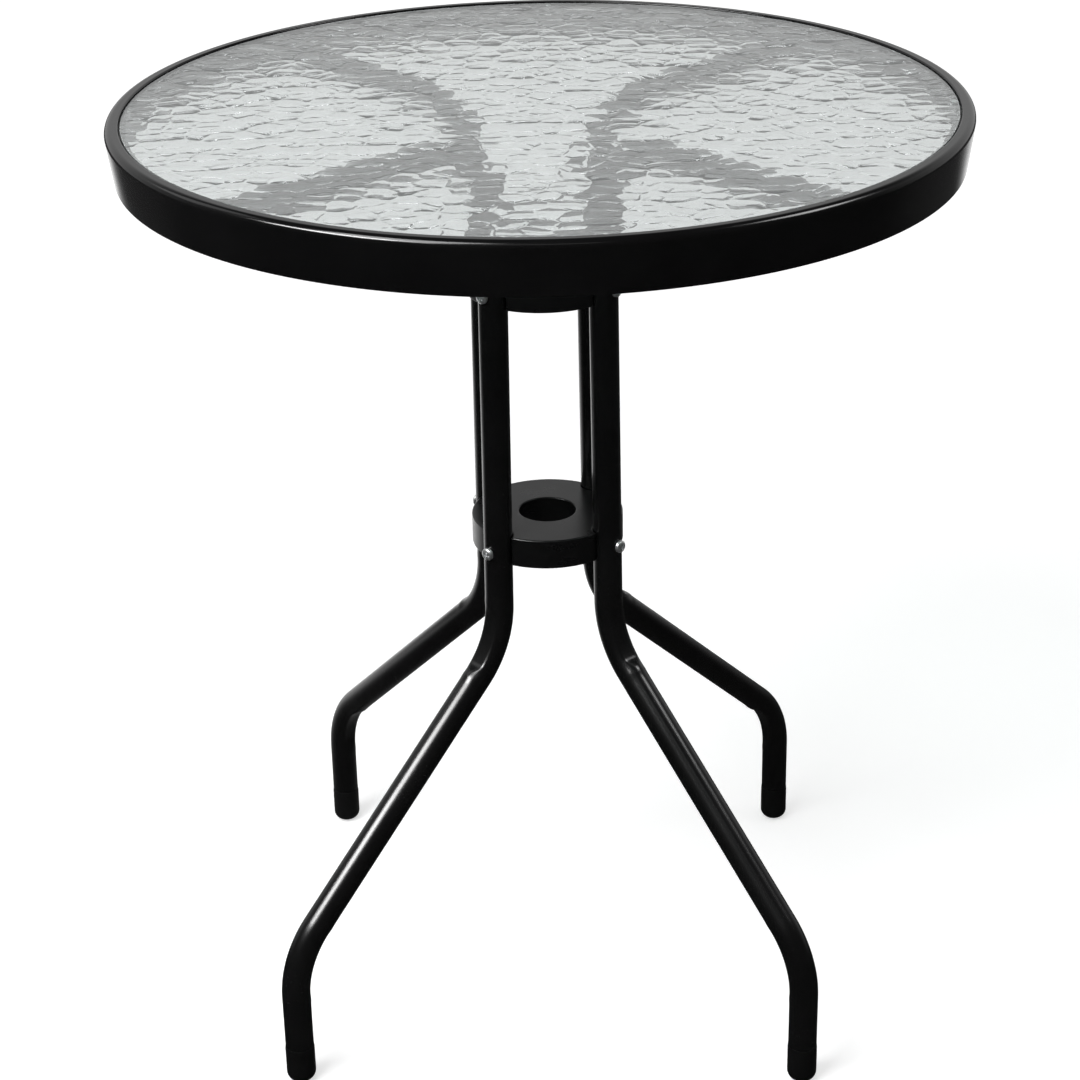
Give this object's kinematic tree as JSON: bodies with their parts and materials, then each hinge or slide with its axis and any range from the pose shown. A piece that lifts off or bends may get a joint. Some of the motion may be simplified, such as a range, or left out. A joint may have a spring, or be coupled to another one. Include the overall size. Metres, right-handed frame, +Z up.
{
  "type": "umbrella table",
  "caption": "Round bistro table with a ripple-glass top in a black steel rim, on four bent tube legs joined by two discs with an umbrella hole.",
  "frame": {"origin": "on the floor, under the middle of the round top", "axes": "+Z up; the four feet stand on the diagonals between X and Y, so -Y is a side between two legs, which the picture shows as the front"},
  "size_m": [0.6, 0.6, 0.69],
  "materials": {
    "rim_paint": "black powder coat, semi-gloss",
    "leg_paint": "black powder coat, glossy",
    "ripple_glass": "clear tempered glass with a ripple relief",
    "clear_pad": "clear soft plastic",
    "disc_plastic": "moulded black plastic, satin",
    "cap_plastic": "moulded black plastic, matt",
    "zinc": "bright zinc plate"
  },
  "bodies": {
    "root": {"rim_frame": "rim_paint", "ledge_ring": "rim_paint", "glass_top": "ripple_glass", "glass_pad_1": "clear_pad", "glass_pad_2": "clear_pad", "glass_pad_3": "clear_pad", "glass_pad_4": "clear_pad", "glass_pad_5": "clear_pad", "glass_pad_6": "clear_pad", "glass_pad_7": "clear_pad", "glass_pad_8": "clear_pad", "lower_disc": "disc_plastic", "upper_disc": "disc_plastic", "leg_rear_right": "leg_paint", "foot_cap_rear_right": "cap_plastic", "rim_spigot_rear_right": "rim_paint", "arm_screw_rear_right": "zinc", "lower_disc_screw_rear_right": "zinc", "lower_disc_nut_rear_right": "zinc", "upper_disc_screw_rear_right": "zinc", "upper_disc_nut_rear_right": "zinc", "leg_rear_left": "leg_paint", "foot_cap_rear_left": "cap_plastic", "rim_spigot_rear_left": "rim_paint", "arm_screw_rear_left": "zinc", "lower_disc_screw_rear_left": "zinc", "lower_disc_nut_rear_left": "zinc", "upper_disc_screw_rear_left": "zinc", "upper_disc_nut_rear_left": "zinc", "leg_front_left": "leg_paint", "foot_cap_front_left": "cap_plastic", "rim_spigot_front_left": "rim_paint", "arm_screw_front_left": "zinc", "lower_disc_screw_front_left": "zinc", "lower_disc_nut_front_left": "zinc", "upper_disc_screw_front_left": "zinc", "upper_disc_nut_front_left": "zinc", "leg_front_right": "leg_paint", "foot_cap_front_right": "cap_plastic", "rim_spigot_front_right": "rim_paint", "arm_screw_front_right": "zinc", "lower_disc_screw_front_right": "zinc", "lower_disc_nut_front_right": "zinc", "upper_disc_screw_front_right": "zinc", "upper_disc_nut_front_right": "zinc"}
  },
  "joints": []
}
